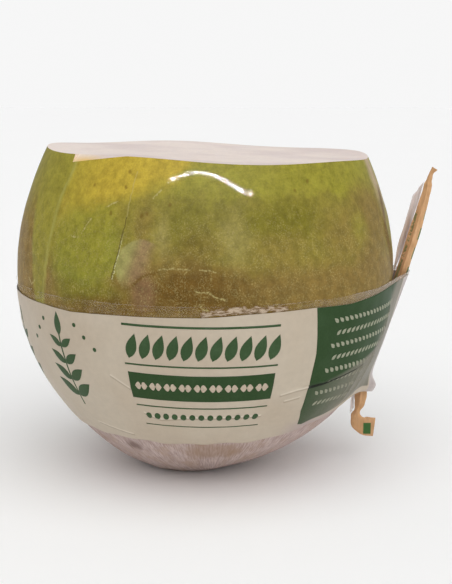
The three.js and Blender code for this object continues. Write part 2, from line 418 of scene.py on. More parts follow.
class Shader:
    """One node material, with the place in mm as fields."""

    def __init__(self, name, **sockets):
        self.material = bpy.data.materials.new(name)
        self.material.use_nodes = True
        self.tree = self.material.node_tree
        self.surface = self.tree.nodes["Principled BSDF"]
        self.set(**sockets)
        self.place = Field(new_node(self.tree, "TexCoord").outputs["Object"]) * (1 / MM)
        parts = new_node(self.tree, "SeparateXYZ", self.place).outputs
        self.x, self.y, self.z = (Field(part) for part in parts)

    @cached_property
    def from_front(self):
        """The angle round the fruit from the front, in radians."""
        return self.x.math("ARCTAN2", self.y * -1.0)

    @cached_property
    def angle(self):
        return self.from_front.math("DEGREES") + FRONT

    @cached_property
    def flat(self):
        """The place on the unrolled skin, in mm: round the widest girth from the front, and up."""
        return self.join(self.from_front * WIDEST_RADIUS, self.z)

    def set(self, **values):
        """Sets inputs of the surface, named in small letters with _ for each space."""
        inputs = {item.name.lower().replace(" ", "_"): item for item in self.surface.inputs}
        for name, value in values.items():
            connect(value, inputs[name])

    def join(self, x, y, z=0.0):
        return Field(new_node(self.tree, "CombineXYZ", x, y, z).outputs[0])

    def warp(self, size, reach):
        """The unrolled place, pushed about at random by up to about reach / 2."""
        aside = self.place.noise(size)
        up = (self.place + (90, 40, 0)).noise(size)
        push = self.join(aside, up) - (0.5, 0.5, 0)
        return self.flat + push * (2.0 * reach)

    def relief(self, height, distance, strength=1.0, layer="normal"):
        """Bump of this height, in mm, seen by the layer whose normal socket is named."""
        made = new_node(self.tree, "Bump")
        for name, value in (("Strength", strength), ("Distance", distance * MM), ("Height", height)):
            connect(value, made.inputs[name])
        self.set(**{layer: Field(made.outputs[0])})


# ---- Colours and marks of the skin ----
FRESH_GREEN = skin_paint(148, 142, 50)
BRIGHT_GREEN = skin_paint(135, 136, 48)
DULL_GREEN = skin_paint(147, 140, 52)
YELLOW = skin_paint(187, 162, 58)
OLIVE = skin_paint(138, 127, 52)
DARK_OLIVE = skin_paint(119, 112, 34)
GREY_OLIVE = skin_paint(156, 144, 80)
BROWN = skin_paint(134, 110, 56)
RED_BROWN = skin_paint(106, 79, 30)
DEEP_BROWN = skin_paint(80, 55, 12)
PINK_BROWN = skin_paint(128, 97, 68)
EDGE_SHADE_BROWN = skin_paint(135, 106, 46)
REFLECTED_PINK = skin_paint(186, 164, 134)
MILKY = skin_paint(158, 153, 92)
PALE = skin_paint(186, 174, 116)
SPECKLE = skin_paint(170, 156, 100)
DARK_MARK = skin_paint(60, 46, 22)
FLESH_PINK = paint(222, 206, 200, 1.0)
FLESH_CREAM = paint(236, 222, 213, 1.0)
HUSK_LIGHT = paint(198, 181, 176)
HUSK_DARK = paint(160, 140, 134)

# Soft patches of skin colour: colour, strength, angle, height, half-angle, half-height, softness.
SKIN_PATCHES = [
    (BRIGHT_GREEN, 0.9, -127, 94, 13, 17, 0.3),
    (FRESH_GREEN, 0.5, -121, 97, 4, 8, 0.7),
    (FRESH_GREEN, 0.6, -124, 89, 7, 5, 0.7),
    (DARK_OLIVE, 0.8, -124, 77.5, 12, 4, 0.6),
    (OLIVE, 0.8, -105, 104, 7, 8, 0.5),
    (DARK_OLIVE, 0.8, -95, 101, 5.5, 11, 0.5),
    (BROWN, 0.5, -107, 101, 2.5, 7, 0.7),
    (GREY_OLIVE, 0.7, -101.5, 97, 2, 6, 0.8),
    (BROWN, 0.6, -98, 88, 8, 7, 0.7),
    (RED_BROWN, 1.0, -91, 80, 17, 7.5, 0.6),
    (RED_BROWN, 0.65, -116, 73.5, 15, 3.5, 0.5),
    (RED_BROWN, 0.35, -90.5, 94, 6, 7, 0.6),
    (DEEP_BROWN, 0.45, -77, 77, 11, 4.5, 0.6),
    (DARK_OLIVE, 0.45, -84.5, 105.5, 7, 7, 0.6),
    (DARK_OLIVE, 0.85, -69, 102, 12, 8, 0.5),
    # The next patch is a painted soft sheen on the front of the skin.
    (GREY_OLIVE, 0.6, -81.5, 97, 4, 8, 0.6),
    (OLIVE, 0.6, -62, 91, 14, 7, 0.6),
    (BROWN, 0.4, -69, 93, 8, 6, 0.7),
    (BROWN, 0.8, -54, 80, 26, 7, 0.7),
    (BROWN, 0.6, -47, 97, 8, 8, 0.7),
    (BROWN, 0.85, -31, 98, 12, 14, 0.5),
    (DULL_GREEN, 0.7, -39.7, 98, 4, 5, 0.8),
    (FRESH_GREEN, 0.7, 60, 108, 26, 15, 0.5),
    (FRESH_GREEN, 0.6, 150, 102, 22, 18, 0.5),
    (BROWN, 0.7, 100, 84, 24, 14, 0.6),
    (YELLOW, 0.6, 98, 117, 20, 8, 0.6),
]
# Beside the straw: the line of a painted reflection near the rim, and of dark brown skin below it.
RIGHT_EDGE_REFLECTION = [(-16.5, 122), (-16.5, 111), (-14, 104)]
RIGHT_EDGE_DARK = [(-15, 107), (-18.5, 95), (-14, 80)]
SCRATCHES = [
    [(-102.4, 87.3), (-98.5, 87.9), (-93.9, 87.8)],
    [(-91.0, 87.7), (-88.9, 87.5), (-87.0, 87.0)],
    [(-92.3, 80.7), (-89.3, 80.2), (-87.1, 78.8), (-84.1, 77.5)],
    [(-91.2, 76.4), (-90.5, 74.9), (-89.0, 74.2)],
    [(-127.4, 97.5), (-126.2, 100.5), (-124.7, 102.6)],
    [(-131.6, 96.4), (-128.6, 96.2)],
    [(-119.9, 106.7), (-117.9, 108.2), (-116.3, 108.9)],
    [(-104.9, 110.6), (-103.3, 112.5), (-102.3, 113.7)],
    [(-152.8, 78.9), (-150.3, 76.8), (-148.1, 78.7)],
    [(22, 96), (27, 92), (30, 84)],
    [(71, 110), (74, 103)],
    [(128, 88), (137, 90), (143, 89)],
]
SPECK_SPOTS = [
    (-113.7, 118.6), (-125.9, 113.9), (-114.1, 113.5), (-99.9, 108.5), (-106.5, 105.3), (-108, 104.5),
    (-57.5, 115.3), (-62.5, 112.5), (-118, 105), (48, 101), (120, 96),
]
MILKY_CENTRE = (-107.4, 87.6)
MILKY_RADIUS = 9.4                     # mm on the unrolled skin


def skin_ground(shader, loose, close):
    """The skin's colours without its marks: greens above, bronze on the belly, yellow by the chip."""
    angle, z = shader.angle, shader.z
    blotch = shader.place.noise(9, detail=3, roughness=0.6)
    level = z + (blotch - 0.5) * 16
    green = blotch.fade(0.35, 0.65).mix(DULL_GREEN, FRESH_GREEN)
    belly = level.fade(94, 82).mix(OLIVE, BROWN)
    colour = level.fade(112.5, 107).mix(green, belly)
    for patch_colour, strength, *shape in SKIN_PATCHES:
        colour = (loose.patch(*shape) * strength).mix(colour, patch_colour)
    # Yellow above a slanting line, from the crease to beyond the crack.
    ripe = (loose.beyond((-138, 102), (-101, 114.5), 9) * loose.beyond((-100, 112), (-94.5, 121.5), 5)
            * angle.fade(-140, -120, 0.5, 0.95))
    faint = loose.beyond((-140, 88), (-112, 103), 18) * 0.2 * angle.fade(-116, -110, 1.0, 0.0)
    colour = (ripe.math("MAXIMUM", faint) * angle.fade(-172, -150)).mix(colour, YELLOW)
    # Left of the crease the skin is duller, and browner where it turns away: that brown is painted
    # shade.
    left = shader.flat.beyond((-142.1, 77.7), (-137.5, 115.6), 1.6)
    colour = (left * angle.fade(-172, -180, 1.0, 0.0) * 0.85).mix(colour, DULL_GREEN)
    rear = (close.beyond((-149.2, 79), (-156, 115), 3) * angle.fade(-168, -178, 1.0, 0.0)
            * z.fade(116, 92, 0.1, 0.95))
    colour = rear.mix(colour, EDGE_SHADE_BROWN)
    # Beside the straw a painted reflection makes the skin pale near the rim, and it is dark brown
    # below.
    pale = loose.stroke(RIGHT_EDGE_REFLECTION, 5.5, 0.8) * z.fade(98, 112, 0.2, 0.9)
    colour = pale.mix(colour, REFLECTED_PINK)
    return (close.stroke(RIGHT_EDGE_DARK, 2.8, 0.8) * 0.9).mix(colour, RED_BROWN)


def milky_bloom(shader, close, colour):
    """Adds a pale fin, sharp at its upper left and pinkish at its lower right, and the bruise below."""
    half_angle = MILKY_RADIUS * DEGREES_PER_MM
    across = close.vector("DOT_PRODUCT", (1, -0.35, 0))
    whole = (close.patch(*MILKY_CENTRE, half_angle, MILKY_RADIUS, 0.05)
             * close.beyond((-112, 80), (-102.4, 87.3), 1.2)
             * across.fade(-53.5, -48, 1.0, 0.0) * shader.z.fade(79, 86))
    tint = across.fade(-59.5, -54).mix(MILKY, skin_paint(150, 124, 88))
    colour = (whole * 0.9).mix(colour, tint)
    colour = (close.patch(-106.5, 79.5, 3.4, 6.5, 0.5) * 0.8).mix(colour, PINK_BROWN)
    shade = close.stroke([(-109.4, 81.9), (-107.1, 84.6), (-102.5, 86.7)], 0.5, 0.8)
    return (shade * 0.7).mix(colour, RED_BROWN)


def skin_marks(shader, close, streak, grain, colour):
    """Adds the scar, specks, crease, crack and scratches. Gives the colour, the scar and the crack."""
    rough = shader.warp(3, 1.6)
    cork = rough.stroke(SCAR, 1.0, 0.35)
    colour = (rough.stroke(SCAR, 1.5, 0.4) * 0.6).mix(colour, RED_BROWN)
    crust = shader.place.noise(1.3, detail=3, roughness=0.6, stretch=(1.6, 1.6, 0.6))
    colour = cork.mix(colour, crust.fade(0.36, 0.58).mix(paint(112, 86, 50), paint(182, 164, 142)))
    specks = fold("MAXIMUM", [close.patch(angle, z, 0.5, 0.7, 0.6) for angle, z in SPECK_SPOTS])
    colour = (specks * 0.55).mix(colour, RED_BROWN)
    crease = close.stroke(CREASE, 0.9, 0.9) * streak.fade(0.25, 0.6, 0.2, 0.65)
    colour = crease.mix(colour, skin_paint(172, 166, 86))
    colour = (close.stroke(CRACK_TOP, 0.25, 0.8) * 0.35).mix(colour, PALE)
    crack = close.stroke(CRACK, 0.2, 0.8) * streak.fade(0.3, 0.6, 0.5, 1.0)
    beside = close + (-0.4, 0, 0)
    lifted = beside.stroke(CRACK, 0.28, 0.7) * shader.z.fade(100, 92) * grain.fade(0.4, 0.6) * 0.85
    colour = lifted.mix(colour, paint(200, 196, 150))
    colour = (crack * 0.7).mix(colour, DARK_MARK)
    scratch = fold("MAXIMUM", [close.stroke(line, 0.26, 0.7) for line in SCRATCHES])
    return (scratch * grain.fade(0.35, 0.6) * 0.75).mix(colour, PALE), cork, crack


def skin_material():
    """Green skin with its ripening colours and marks, and pale pared husk below."""
    shader = Shader("coconut_skin", specular_ior_level=0.05, coat_roughness=0.03, coat_ior=1.45)
    place = shader.place
    loose = shader.warp(7, 3.5)
    close = shader.warp(2.5, 0.6)
    streak = place.noise(1.8, detail=3, roughness=0.6, stretch=(1, 1, 6))
    grain = place.noise(0.7, detail=2, roughness=0.7)
    mottle = place.noise(3.2, detail=3, roughness=0.65)

    colour = skin_ground(shader, loose, close)
    colour = milky_bloom(shader, close, colour)
    # Fine pale speckles, thickest on the belly.
    fleck = place.noise(0.5, detail=2, roughness=0.7).fade(0.48, 0.66)
    fleck = fleck * place.noise(3.5).fade(0.36, 0.56, 0.25, 1.0) * shader.z.fade(114, 94, 0.1, 0.52)
    colour = fleck.mix(colour, SPECKLE)
    tone = streak.fade(0.3, 0.7, 0.95, 1.05) + mottle.fade(0.3, 0.7, -0.15, 0.15)
    colour = colour * (tone + grain.fade(0.3, 0.7, -0.09, 0.09))
    colour, cork, crack = skin_marks(shader, close, streak, grain, colour)

    bare, husk, fibre = pared_husk(shader, loose, mottle)
    # The wax is broken into grains, so that the highlight sparkles.
    wax = place.noise(0.8, detail=1).fade(0.44, 0.5, 0.0, 0.13)
    shader.set(base_color=bare.mix(colour, husk), coat_weight=wax * bare.fade(0, 1, 1.0, 0.0),
               roughness=bare.fade(0, 1, 0.5, 0.8) + cork * 0.3)
    shader.relief(grain * 0.5 + streak * 0.35 - crack * 1.2 + fibre * bare * 0.6, 0.2, 0.5)
    shader.relief(place.noise(0.8, detail=2, roughness=0.7), COAT_PORES, 1.0, "coat_normal")
    return shader.material


def pared_husk(shader, loose, mottle):
    """Where the skin is pared away near the base, the bare husk's colour, and its fibres."""
    sideways = (shader.place * (1, 1, 0)).vector("NORMALIZE")
    around = sideways * 50.0 + shader.join(0.0, 0.0, shader.z)
    fibre = around.noise(0.55, detail=3, roughness=0.6, stretch=(1, 1, 6))
    blush = around.noise(6, detail=3, roughness=0.6)
    husk = fibre.fade(0.3, 0.7).mix(HUSK_DARK, HUSK_LIGHT)
    husk = blush.fade(0.42, 0.7, 0.0, 0.6).mix(husk, paint(166, 142, 124))
    husk = (loose.patch(-86, 17, 13, 4, 0.5) * 0.6).mix(husk, paint(146, 120, 98))
    husk = (loose.patch(-124, 17, 4, 3, 0.6) * 0.7).mix(husk, paint(112, 92, 84))
    edge = shader.z + (mottle - 0.5) * 8
    return edge.fade(HUSK_TOP + 1, HUSK_TOP + 2, 1.0, 0.0), husk, fibre


def flesh_material():
    """The moist, fibrous cut face."""
    shader = Shader("cut_husk", roughness=0.55, specular_ior_level=0.35, subsurface_weight=0.12,
                    subsurface_radius=(0.004, 0.003, 0.002), subsurface_scale=0.3)
    broad = shader.place.noise(34, detail=2)
    fibre = shader.place.noise(1.6, detail=3, roughness=0.6)
    ring = (shader.place * (1, 1, 0)).vector("LENGTH")
    colour = broad.fade(0.35, 0.65).mix(FLESH_PINK, FLESH_CREAM) * fibre.fade(0.3, 0.7, 0.965, 1.03)
    stain = shader.flat.patch(-133, 120.5, 7, 3.0, 0.8) * ring.fade(56, 61)
    shader.set(base_color=(stain * 0.85).mix(colour, paint(218, 178, 82)))
    shader.relief(fibre, 0.12, 0.5)
    return shader.material


# ---- Coconut ----
COLUMN_STEP = 2 / 3                    # the angle between two columns of the skin
SKIN_ROWS = 148
SKIN_CROWDING = 1.15
CHIP_INNER_SHARE = 0.95                # the chip reaches in to this share of the cut's radius
BASE_SHARES = [0.25, 0.5, 0.75, 0.92, 1.0]
CUT_SHARES = [0.9955, 0.985, 0.97, 0.95, 0.92, 0.88, 0.83, 0.77, 0.7, 0.62, 0.53, 0.43, 0.32, 0.2, 0.1]


def skin_relief(angle, z):
    """Everything that the visible skin adds to the plain shape."""
    dimples = 0.05 * waves(angle, z, 11, (20, 60), (0, 0.12), 16)
    relief = undulation(angle, z) + dimples * (1 - 0.93 * smoothstep(100, 108, z))
    relief += 0.16 * bump(distance_to_line(angle, z, CREASE), 0, 1.1)
    relief -= 0.14 * bump(distance_to_line(angle, z, CRACK), 0, 0.7)
    scar = bump(distance_to_line(angle, z, SCAR), 0, 1.3)
    relief += scar * (0.14 + 0.05 * waves(angle, z, 23, (80, 160), (0.1, 0.5)))
    fibrous = 1 - smoothstep(HUSK_TOP - 3, HUSK_TOP + 1, z)
    relief += fibrous * 0.04 * waves(angle, z, 31, (60, 200), (0, 0.05), 18)
    relief -= SKIN_THICKNESS * fibrous * smoothstep(0, 4, z)
    return relief * smoothstep(0, 2, z)


def make_coconut():
    angles = np.arange(-180, 180, COLUMN_STEP)
    angles = np.sort(np.append(angles, [CHIP_START - 0.1, CHIP_START]))
    rim = rim_height(angles)
    floor_edge = on_fruit(angles, 0.0, skin_radius(angles, 0.0))
    middle = np.array([axis_x(0.0), 0, 0])
    rows = [middle + (floor_edge - middle) * share for share in BASE_SHARES]
    for share in (np.arange(1, SKIN_ROWS + 1) / SKIN_ROWS) ** SKIN_CROWDING:
        z = rim * share
        radius = skin_radius(angles, z) + skin_relief(angles, z)
        rows.append(on_fruit(angles, z, radius))
    # The cut face starts from the last radius, which is the rim's.
    for share in CUT_SHARES:
        chip = np.clip((share - CHIP_INNER_SHARE) / (1 - CHIP_INNER_SHARE), 0, 1)
        top = cut_height(angles, share) * (1 - chip) + rim * chip
        saw = SAW_DEPTH * waves(angles, share * 60, 41, (3, 40), (0.05, 0.3), 16)
        height = top + saw * min(1, 4 * (1 - share))
        rows.append(np.stack([share * radius * np.cos(np.radians(angles)),
                              share * radius * np.sin(np.radians(angles)), height], axis=-1))
    points, faces = capped(np.array(rows), middle, [0, 0, float(cut_height(0.0, 0.0))])
    columns = len(angles)
    skin_faces = (len(BASE_SHARES) + SKIN_ROWS - 1) * columns
    flesh = [0] * skin_faces + [1] * (len(CUT_SHARES) * columns) + [0] * columns + [1] * columns
    piece = add_piece("coconut_fruit", points, faces, [skin_material(), flesh_material()],
                      flesh)
    sharpen(piece, 38)
    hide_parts("coconut")


# ---- Film band ----
FILM_THICKNESS = 0.14
FILM_REST = 0.12                       # how far the film's outside lies from the band's inner surface
CRINKLE = 0.045
FOOT_UNEVENNESS = 0.35
TOP_UNEVENNESS = 0.12
FOOT_FLARE = 2.8
PACKET_GAP = 0.1                       # between the film and the sleeve that it is stretched over
PACKET_BAND = (-6.0, 10.0)             # angles where unprinted film wraps the packet
LOWER_ROWS = 44                        # rows of the film below the tuck
UPPER_ROWS = 46                        # rows from the tuck to the print's upper edge
TUCK_GAP = 0.3                         # flat film between the tuck's two sides
# How far the film moves beside the tuck, and the height over which that fades.
TUCK_BULGE = (0.9, 6.0)                # outwards, above the tuck
TUCK_DROP = (0.85, 2.0)                # downwards, above it
TUCK_SINK = (0.3, 3.0)                 # inwards, below it
TUCK_SHADE = 1.3                       # how far below the tuck the shade under its lip lies
MARGIN_SHARES = np.array([0.2, 0.5, 0.8, 0.92, 1.0])
TUCK = [(-180, 47), (-70, 43.8), (-58, 45.2), (-52, 45.7), (-45.2, 46.9), (-38.5, 47.9),
        (-33.5, 49.2), (-30, 50.9), (-25.2, 54.6), (-14, 60), (0, 60), (30, 52), (180, 47)]
FILM_RIDGES = [                        # height, half-width, line
    (0.50, 0.7, [(-118.5, 49.3), (-112.9, 45.2)]),
    (0.60, 0.7, [(-134, 27.2), (-126.0, 25.9), (-118.8, 24.6)]),
    (0.65, 0.8, [(-109.9, 35.5), (-107.4, 34.2), (-104.6, 33.2), (-94.9, 34.5), (-72, 34.8)]),
    (0.90, 0.9, [(-67, 42.7), (-62, 43.9), (-58.2, 44.3)]),
    (0.45, 0.9, [(-65, 39.9), (-60, 40.8)]),
    (0.50, 1.2, [(-36.5, 45.5), (-38.5, 36)]),
    (0.60, 1.4, [(-33, 46.5), (-35.5, 34)]),
    (0.60, 1.6, [(-26, 49), (-29, 36)]),
    (0.35, 1.0, [(-19, 66), (-22, 56)]),
    (0.28, 1.0, [(14, 50), (26, 44), (40, 43)]),
    (0.25, 0.9, [(62, 30), (70, 33)]),
    (0.30, 1.0, [(118, 38), (129, 44)]),
    (-0.30, 0.9, [(150, 52), (160, 50)]),
    (0.25, 0.9, [(-170, 60), (-163, 55)]),
]
CREASES_IN_VIEW = 5                    # the first ridges are sharp creases on the cream front
PACKET_SLOPE = (PACKET_HEAD[0] - PACKET_FOOT[0]) / (PACKET_HEAD[1] - PACKET_FOOT[1])
PACKET_RISE = 1 / math.hypot(1, PACKET_SLOPE)      # the packet direction's share along +Z


def leaning_x(z):
    """The packet's bowed middle line where it leans on the fruit, for a number, array or field."""
    share = (z - PACKET_FOOT[1]) / (PACKET_HEAD[1] - PACKET_FOOT[1])
    straight = share * (PACKET_HEAD[0] - PACKET_FOOT[0]) + PACKET_FOOT[0]
    return straight + share * (1.0 - share) * (4 * PACKET_BOW)


def packet_x(z):
    """The packet's middle line, which hangs straight down at its foot."""
    leaning = leaning_x(z)
    return (leaning + PACKET_HANG_X + np.hypot(leaning - PACKET_HANG_X, PACKET_HANG_BEND)) / 2


def band_radius(angle, z):
    """The band's plain inner surface: on the fruit, and stretched out over the straw packet."""
    fruit = smooth_radius(angle, z)
    outside = packet_x(z) + (SLEEVE_RADIUS + PACKET_GAP) / PACKET_RISE
    lift = np.maximum(0.01, outside - axis_x(z) - smooth_radius(PACKET_ANGLE, z))
    span = np.degrees(np.sqrt(2 * lift / fruit))
    beside = np.maximum(0, np.abs(turn(angle, PACKET_ANGLE)) - POCKET_HALF_ANGLE)
    return fruit + np.maximum(FILM_GAP, lift * np.maximum(0, 1 - beside / span) ** 2)


def band_edges(angle):
    from_lift = turn(angle, BAND_FOOT_LIFT_ANGLE) / BAND_FOOT_LIFT_WIDTH
    foot = BAND_FOOT + BAND_FOOT_LIFT * np.exp(-(from_lift ** 2) / 2)
    top = BAND_TOP + BAND_TOP_RISE * np.cos(np.radians(angle))
    return (foot + FOOT_UNEVENNESS * waves(angle, 0.0, 51, (5, 24), (0, 0)),
            top + TOP_UNEVENNESS * waves(angle, 0.0, 53, (5, 30), (0, 0)))


def film_rows(angles):
    """The heights of the film's rows: up to the tuck, on to the print's edge, and the clear margin."""
    foot, top = band_edges(angles)
    tuck = follow(TUCK, angles)
    lower = foot + (tuck - foot) * np.linspace(0, 1, LOWER_ROWS)[:, None]
    above = tuck + TUCK_GAP
    edge = follow(PRINT_TOP, angles)
    upper = above + (edge - above) * np.linspace(0, 1, UPPER_ROWS)[:, None]
    margin = edge + (top - edge) * MARGIN_SHARES[:, None]
    return np.concatenate([lower, upper, margin])


def film_points(angles, heights):
    """The film's outer surface, with its creases, its tuck beside the straw and its flared foot."""
    angle = np.broadcast_to(angles, heights.shape)
    radius = band_radius(angle, heights) + FILM_REST + undulation(angle, heights)
    radius = radius + CRINKLE * waves(angle, heights, 61, (14, 60), (0, 0.09), 18)
    for height, width, line in FILM_RIDGES:
        radius = radius + height * np.exp(-distance_to_line(angle, heights, line) / width)
    # The upper film hangs a little over the lower along the tuck.
    above = heights - heights[LOWER_ROWS - 1]
    reach = smoothstep(-62, -52, angle) * (1 - smoothstep(-38, -19, angle))
    bulge, drop, sink = (size * np.exp(-np.abs(above) / height)
                         for size, height in (TUCK_BULGE, TUCK_DROP, TUCK_SINK))
    radius = radius + reach * np.where(above > 0, bulge, -sink)
    drop = np.where(above > 0, drop, 0)
    # Below the packet's bend the film's foot flares outwards.
    foot = heights - heights[0]
    radius = radius + FOOT_FLARE * bump(angle, 1, 7) * bump(foot, 2.5, 3.2)
    return on_fruit(angle, heights - reach * drop, radius)


# The film's columns are closest where its creases and its tuck are.
FILM_ANGLES = np.concatenate([np.arange(-180, -150, 1.0), np.arange(-150, 6, 0.5),
                              np.arange(6, 180, 1.5)])
FILM_HEIGHTS = film_rows(FILM_ANGLES)
FILM_POINTS = film_points(FILM_ANGLES, FILM_HEIGHTS)


def film_cells(angles):
    """For each angle, the film column before it and how far it lies towards the next."""
    column = np.clip(np.searchsorted(FILM_ANGLES, angles, side="right") - 1, 0, len(FILM_ANGLES) - 2)
    share = (angles - FILM_ANGLES[column]) / (FILM_ANGLES[column + 1] - FILM_ANGLES[column])
    return column, share


def between_columns(values, rows, column, share):
    return values[rows, column] * (1 - share) + values[rows, column + 1] * share


def film_row(angles, heights):
    """The film row, with a fraction, that lies at each angle and height of the flat film."""
    levels = between_columns(FILM_HEIGHTS, slice(None), *film_cells(angles))
    order = np.arange(len(FILM_HEIGHTS))
    return np.array([np.interp(height, level, order) for height, level in zip(heights, levels.T)])


def on_film(angles, rows, lift):
    """Points on the film's faces, raised straight out from the fruit's axis by lift."""
    column, share = film_cells(angles)
    low = np.clip(rows.astype(int), 0, len(FILM_HEIGHTS) - 2)
    up = (rows - low)[:, None]
    below = between_columns(FILM_POINTS, low, column, share[:, None])
    above = between_columns(FILM_POINTS, low + 1, column, share[:, None])
    return below * (1 - up) + above * up + outwards(angles) * lift


def make_film():
    inner = FILM_POINTS - FILM_THICKNESS * outwards(FILM_ANGLES)
    rows = np.concatenate([FILM_POINTS, inner[::-1]])
    faces = grid_faces(len(rows), len(FILM_ANGLES), wrap_rows=True)
    row, column = np.divmod(np.arange(len(faces)), len(FILM_ANGLES))
    row = np.where(row < len(FILM_POINTS), row, len(rows) - 2 - row)
    over_packet = (FILM_ANGLES[column] > PACKET_BAND[0]) & (FILM_ANGLES[column] < PACKET_BAND[1])
    # Which of the films each face is: 0 printed, 1 clear, 2 the clear film's edge, 3 unprinted.
    kind = np.where(over_packet, 3, 0)
    kind = np.where(row >= LOWER_ROWS + UPPER_ROWS - 1, 1, kind)
    kind = np.where(row >= len(FILM_POINTS) - 2, 2, kind)
    films = [cream_film(), clear_film("clear_film", 0.0, 0.06),
             clear_film("clear_film_edge", 0.02, 0.18), packet_film()]
    piece = add_piece("label_film", rows, faces, films, kind.tolist())
    sharpen(piece, 50)
    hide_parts("label_band")


def cream_film():
    shader = Shader("printed_cream_film", roughness=0.42, specular_ior_level=0.16)
    cloud = shader.place.noise(26, detail=2)
    mottle = shader.place.noise(2.4, detail=3, roughness=0.6)
    colour = cloud.fade(0.3, 0.7).mix(paint(182, 168, 149), paint(187, 175, 157))
    colour = colour * mottle.fade(0.3, 0.7, 0.97, 1.02)
    # A duller, pinker edge along the foot, beside the straw: pinker from the film's haze, duller from
    # painted shade where the film turns under.
    foot = shader.angle.fade(-64, -50) * shader.z.fade(31, 27)
    colour = foot.mix(colour, paint(172, 156, 150))
    # The creases have a painted highlight along the top, and painted shade beneath.
    for _, _, line in FILM_RIDGES[:CREASES_IN_VIEW]:
        under = [(angle, z - 0.55) for angle, z in line]
        colour = (shader.flat.stroke(under, 0.4, 0.8) * 0.5).mix(colour, paint(140, 124, 104))
        colour = (shader.flat.stroke(line, 0.3, 0.8) * 0.7).mix(colour, paint(208, 198, 182))
    shader.set(base_color=colour)
    shader.relief(shader.place.noise(5, detail=4, roughness=0.6, stretch=(1, 1, 1.5)), 0.4, 0.5)
    return shader.material


def packet_film():
    """The unprinted film over the packet: hazy and pinkish white."""
    shader = Shader("hazy_film", roughness=0.35, specular_ior_level=0.4)
    cloud = shader.place.noise(4, detail=3, stretch=(1, 1, 3))
    shader.set(base_color=cloud.mix(paint(178, 164, 160), paint(200, 190, 187)),
               alpha=cloud.fade(0.35, 0.7, 0.8, 0.95))
    shader.relief(cloud, 0.4, 0.5)
    return shader.material


def clear_film(name, thin, thick):
    """Clear film, whose haze lies between the two opacities, and is silvery beside the straw, partly
    from its haze and partly from a painted sheen.
    """
    shader = Shader(name, roughness=0.3, specular_ior_level=0.4)
    streak = shader.place.noise(5, detail=3, roughness=0.6, stretch=(2, 2, 0.4))
    sheen_and_haze = shader.angle.fade(-66, -8) * shader.angle.fade(30, 14)
    haze = streak.fade(0.35, 0.7, thin, thick)
    shader.set(base_color=paint(184, 168, 150), alpha=haze + sheen_and_haze * 0.34)
    return shader.material


# ---- Print ----
INK_HEIGHT = 0.05                      # how far each layer of ink stands on the one below
INK_SUNK = 0.03                        # and how deep its foot lies in it


def ink_material(name, colour, worn):
    shader = Shader(name, roughness=0.42, specular_ior_level=0.1)
    flat, angle = shader.flat, shader.angle
    cloud = shader.place.noise(9, detail=3, roughness=0.6)
    grain = shader.place.noise(0.7, detail=2)
    tint = cloud.fade(0.4, 0.8, 0.0, 0.5).mix(colour, worn)
    # The film turns hazy beside the straw, and sooner below the tuck: partly its own haze, partly a
    # painted reflection where it turns away.
    haze = flat.beyond((-13.5, 74.5), (-28.5, 50), 7)
    below = (flat.beyond((-25.2, 53), (-58, 44), 1.5) * angle.fade(-64, -24) * shader.z.fade(56, 52))
    haze = haze.math("MAXIMUM", below) * angle.fade(20, 10) * 0.92
    tint = haze.mix(tint, paint(130, 125, 112))
    # Under the tuck's lip it is in deep shade.
    lip = [(turned, z - TUCK_SHADE) for turned, z in TUCK if -60 < turned < -25]
    tint = (flat.stroke(lip, 0.55, 0.35) * 0.95).mix(tint, paint(18, 22, 12))
    shader.set(base_color=tint * grain.fade(0.3, 0.7, 0.94, 1.06))
    return shader.material


def slice_flat(flat, axis, places):
    """Cuts every face that crosses one of these places along an axis, 0 or 1."""
    direction = (1 - axis, axis, 0)
    spots = [vertex.co[axis] for vertex in flat.verts]
    for place in places[(places > min(spots)) & (places < max(spots))]:
        everything = flat.verts[:] + flat.edges[:] + flat.faces[:]
        point = tuple(float(place) * part for part in direction)
        bmesh.ops.bisect_plane(flat, geom=everything, dist=1e-5, plane_co=point, plane_no=direction)


def add_ink(name, outlines, material, layer=1):
    """Printed shapes, given as outlines of (angle, height) points, laid on the film as thin slabs."""
    flat = bmesh.new()
    for outline in outlines:
        face = flat.faces.new([flat.verts.new((angle, z, 0)) for angle, z in outline])
        face.normal_update()
        if face.normal.z < 0:
            face.normal_flip()
    bmesh.ops.triangulate(flat, faces=flat.faces[:])
    bmesh.ops.join_triangles(flat, faces=flat.faces[:], angle_face_threshold=3, angle_shape_threshold=3)
    # Cut at the film's own columns and rows, so that the ink bends just as the film does.
    slice_flat(flat, 0, FILM_ANGLES)
    spots = np.array([vertex.co[:2] for vertex in flat.verts])
    for vertex, row in zip(flat.verts, film_row(spots[:, 0], spots[:, 1])):
        vertex.co.y = row
    slice_flat(flat, 1, np.arange(len(FILM_HEIGHTS)))
    flat.verts.index_update()
    spots = np.array([vertex.co[:2] for vertex in flat.verts])
    count = len(spots)
    faces = [[vertex.index for vertex in face.verts] for face in flat.faces]
    faces += [[index + count for index in reversed(face)] for face in faces]
    for edge in flat.edges:
        if len(edge.link_faces) == 1:
            loop = edge.link_loops[0]
            start, end = loop.vert.index, loop.link_loop_next.vert.index
            faces.append([end, start, start + count, end + count])
    flat.free()
    points = [on_film(spots[:, 0], spots[:, 1], lift)
              for lift in (INK_HEIGHT * layer, INK_HEIGHT * (layer - 1) - INK_SUNK)]
    add_piece(name, points, faces, [material])


def leaf(angle, z, length, width, lean, steps=9):
    """A pointed leaf outline from its foot; length and width in mm, lean in degrees from upright."""
    along = np.linspace(0, 1, steps)
    half = width / 2 * np.sin(np.pi * along ** 0.8)
    forward = np.append(along, along[-2:0:-1]) * length
    aside = np.append(half, -half[-2:0:-1])
    sine, cosine = math.sin(math.radians(lean)), math.cos(math.radians(lean))
    across = forward * sine + aside * cosine
    return list(zip(angle + across * DEGREES_PER_MM, z + (forward * cosine - aside * sine)))


def disc(angle, z, radius, steps=16):
    around = np.linspace(0, 2 * math.pi, steps, endpoint=False)
    return [(angle + radius * DEGREES_PER_MM * math.cos(a), z + radius * math.sin(a)) for a in around]


